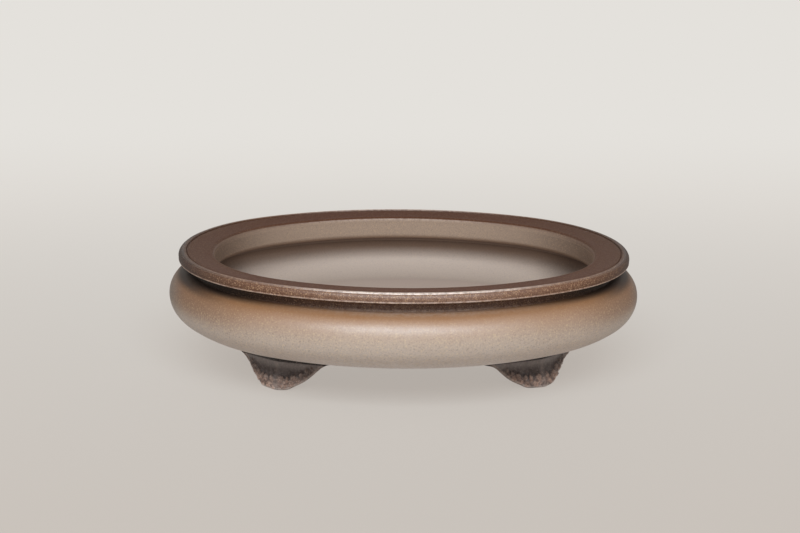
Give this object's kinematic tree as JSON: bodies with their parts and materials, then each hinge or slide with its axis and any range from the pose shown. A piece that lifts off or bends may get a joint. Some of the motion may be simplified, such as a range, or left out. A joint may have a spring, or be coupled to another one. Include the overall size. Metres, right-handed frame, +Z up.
{
  "type": "oval bonsai pot",
  "caption": "Low oval bonsai pot of unglazed brown stoneware with a round belly, a recessed neck, a flat rolled rim, drain and wire holes, and cloud-scroll bracket feet.",
  "frame": {"origin": "under the middle of the pot, on the plane that its four feet stand on", "axes": "+X along the length of the oval, +Y across it from front to back, +Z up"},
  "size_m": [0.3, 0.242, 0.075],
  "materials": {
    "floor_clay": "matt unglazed stoneware, pale beige",
    "belly_clay": "satin unglazed stoneware, tan brown with fine sand",
    "rim_clay": "satin unglazed stoneware, dark brown with fine sand",
    "foot_clay": "matt unglazed stoneware, grey brown"
  },
  "bodies": {
    "root": {"floor_slab": "floor_clay", "lower_belly": "belly_clay", "shoulder_ring": "belly_clay", "neck_band": "rim_clay", "rim_lip": "rim_clay", "foot_front_left": "foot_clay", "foot_front_right": "foot_clay", "foot_back_left": "foot_clay", "foot_back_right": "foot_clay"}
  },
  "joints": []
}
